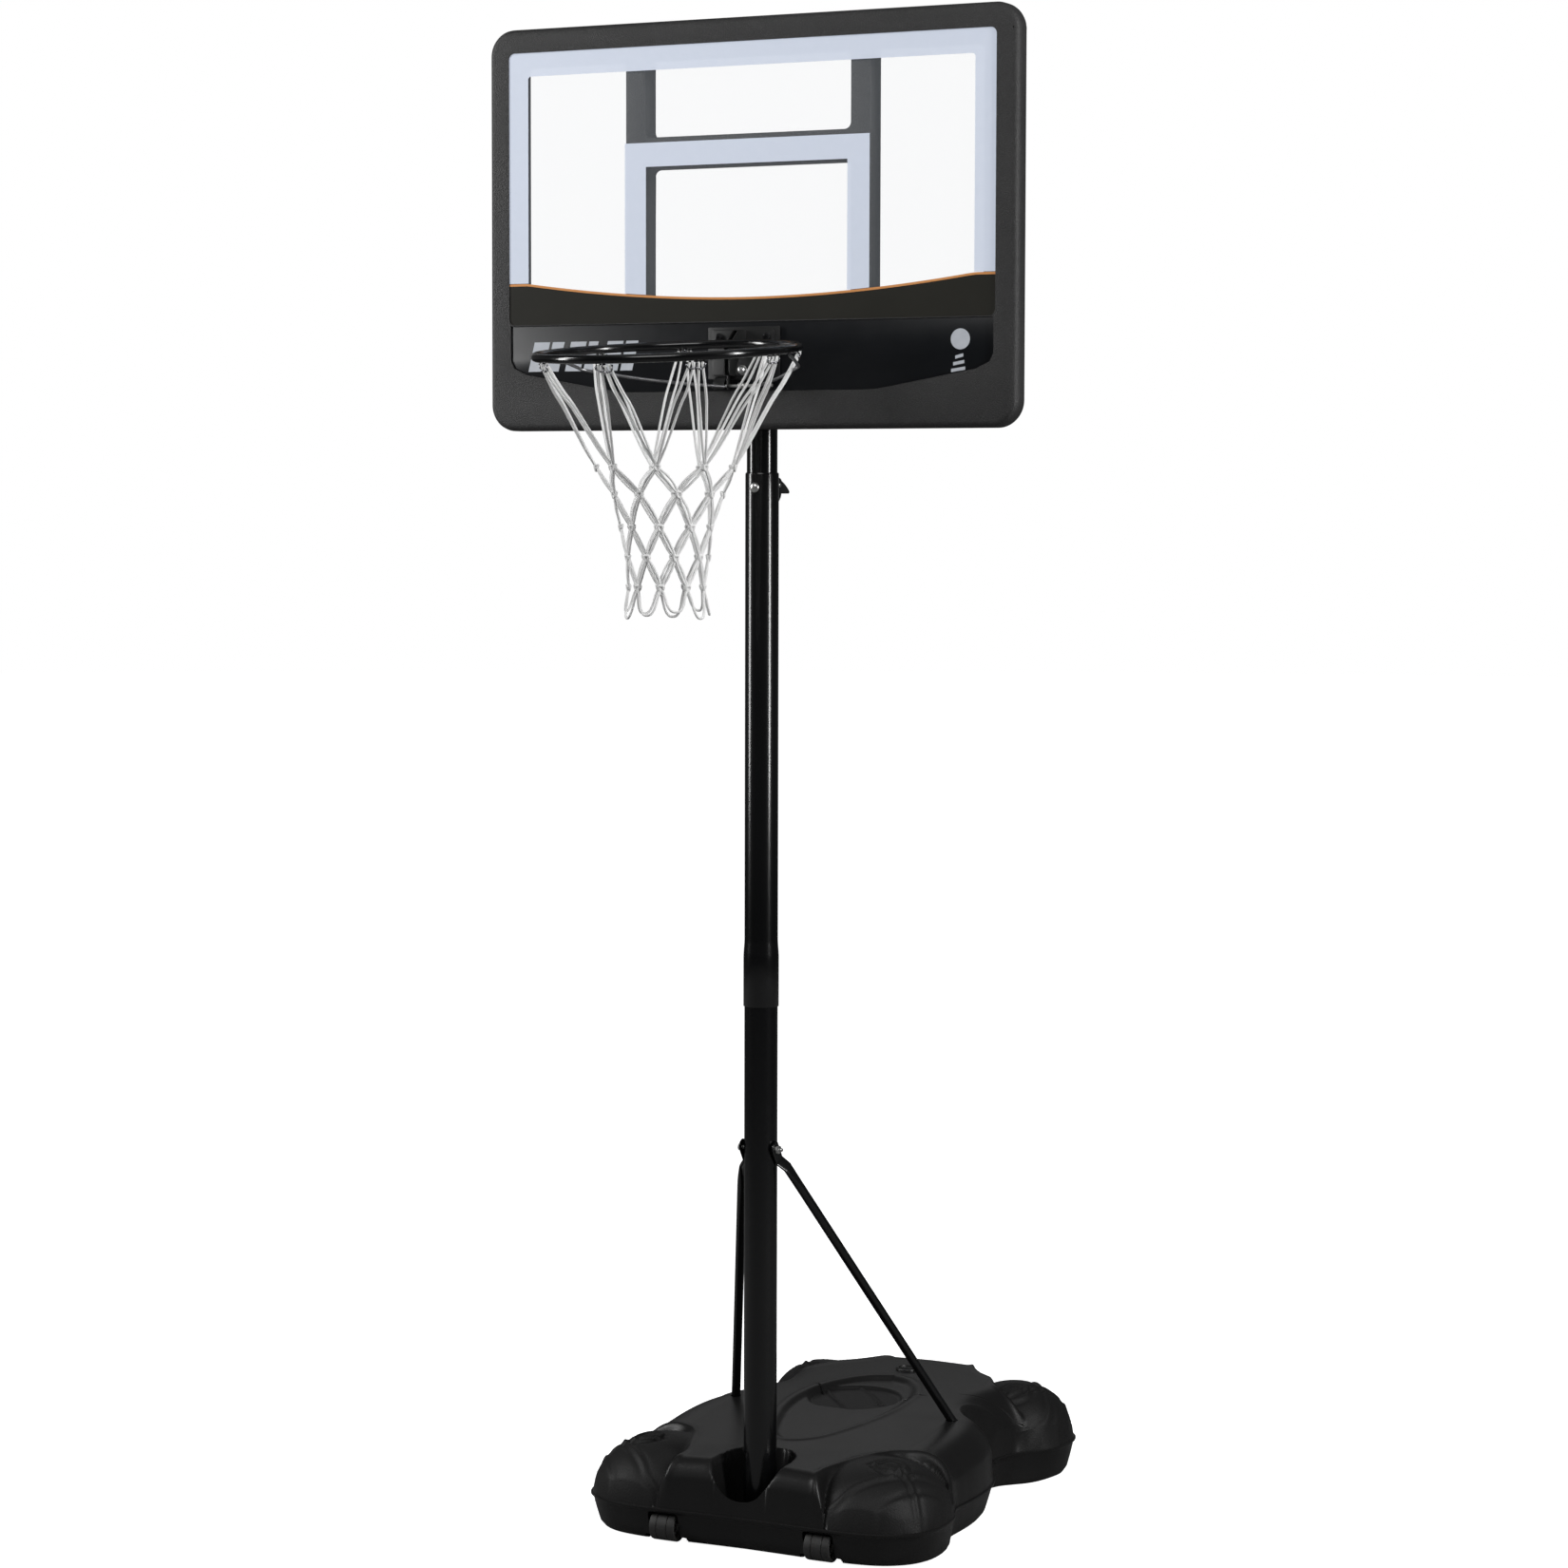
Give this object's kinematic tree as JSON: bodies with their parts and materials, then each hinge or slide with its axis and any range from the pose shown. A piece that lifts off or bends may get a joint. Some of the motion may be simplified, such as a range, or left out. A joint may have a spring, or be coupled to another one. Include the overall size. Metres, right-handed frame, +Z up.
{
  "type": "portable basketball hoop",
  "caption": "Free-standing basketball hoop with a ballast tank on rollers, telescoping pole, clear board, flex rim and net.",
  "frame": {"origin": "on the floor under the pole's axis", "axes": "+Z up along the pole, -Y towards the ring, +X to the right seen from behind the board"},
  "size_m": [1.102, 1.4942, 2.898],
  "materials": {
    "black_plastic": "satin, fine pebble grain",
    "roller": "matte",
    "black_steel": "glossy black powder coat",
    "zinc": "bright zinc plate",
    "clear_acrylic": "clear",
    "net_cord": "braided white cord"
  },
  "bodies": {
    "base": {"base_tank": "black_plastic", "pole_lower": "black_steel", "pole_middle": "black_steel", "pole_foot_plug": "black_plastic", "strut_left": "black_steel", "strut_right": "black_steel", "strut_bolt": "zinc", "strut_nut": "zinc", "lock_cheek_left": "black_steel", "lock_cheek_right": "black_steel", "lever_pin": "zinc", "lock_rivet": "zinc", "brake_pad": "black_plastic", "wheel_axle_left": "zinc", "wheel_axle_right": "zinc"},
    "upper": {"pole_upper": "black_steel", "pole_top_cap": "black_plastic", "board_frame": "black_plastic", "clear_sheet": "clear_acrylic", "rear_brace": "black_plastic", "pole_bracket": "black_steel", "bracket_bolt_low": "zinc", "bracket_bolt_low_nut": "zinc", "bracket_bolt_high": "zinc", "bracket_bolt_high_nut": "zinc", "rim_back_plate": "black_steel", "hinge_pin": "zinc", "rim_spring": "zinc"},
    "rim": {"rim_front_plate": "black_steel", "rim_ring": "black_steel", "rim_brace_left": "black_steel", "rim_brace_right": "black_steel", "dome_nut": "zinc", "plate_bolt_left": "black_steel", "plate_bolt_right": "black_steel", "net": "net_cord", "net_hook_1": "zinc", "net_hook_2": "zinc", "net_hook_3": "zinc", "net_hook_4": "zinc", "net_hook_5": "zinc", "net_hook_6": "zinc", "net_hook_7": "zinc", "net_hook_8": "zinc", "net_hook_9": "zinc"},
    "lever": {"height_lever": "black_plastic"},
    "wheel_left": {"wheel_left": "roller"},
    "wheel_right": {"wheel_right": "roller"},
    "cap": {"fill_cap": "black_plastic"}
  },
  "joints": [
    {"name": "height_slide", "type": "slide", "parent": "base", "child": "upper", "axis": [0, 0, 1], "range_m": [0, 0.76]},
    {"name": "rim_flex", "type": "hinge", "parent": "upper", "child": "rim", "pos_m": [0, -0.084, 2.214], "axis": [1, 0, 0], "range_deg": [0, 10], "stiffness_Nm_per_rad": 260, "springref_deg": -20.05},
    {"name": "lever_turn", "type": "hinge", "parent": "base", "child": "lever", "pos_m": [0, 0.056, 2.03], "axis": [1, 0, 0], "range_deg": [0, 60]},
    {"name": "wheel_left_spin", "type": "hinge", "parent": "base", "child": "wheel_left", "pos_m": [-0.165, -0.069, 0.03], "axis": [1, 0, 0], "continuous": true},
    {"name": "wheel_right_spin", "type": "hinge", "parent": "base", "child": "wheel_right", "pos_m": [0.165, -0.069, 0.03], "axis": [1, 0, 0], "continuous": true},
    {"name": "cap_lift", "type": "slide", "parent": "base", "child": "cap", "axis": [0, 0, 1], "range_m": [0, 0.05]}
  ]
}
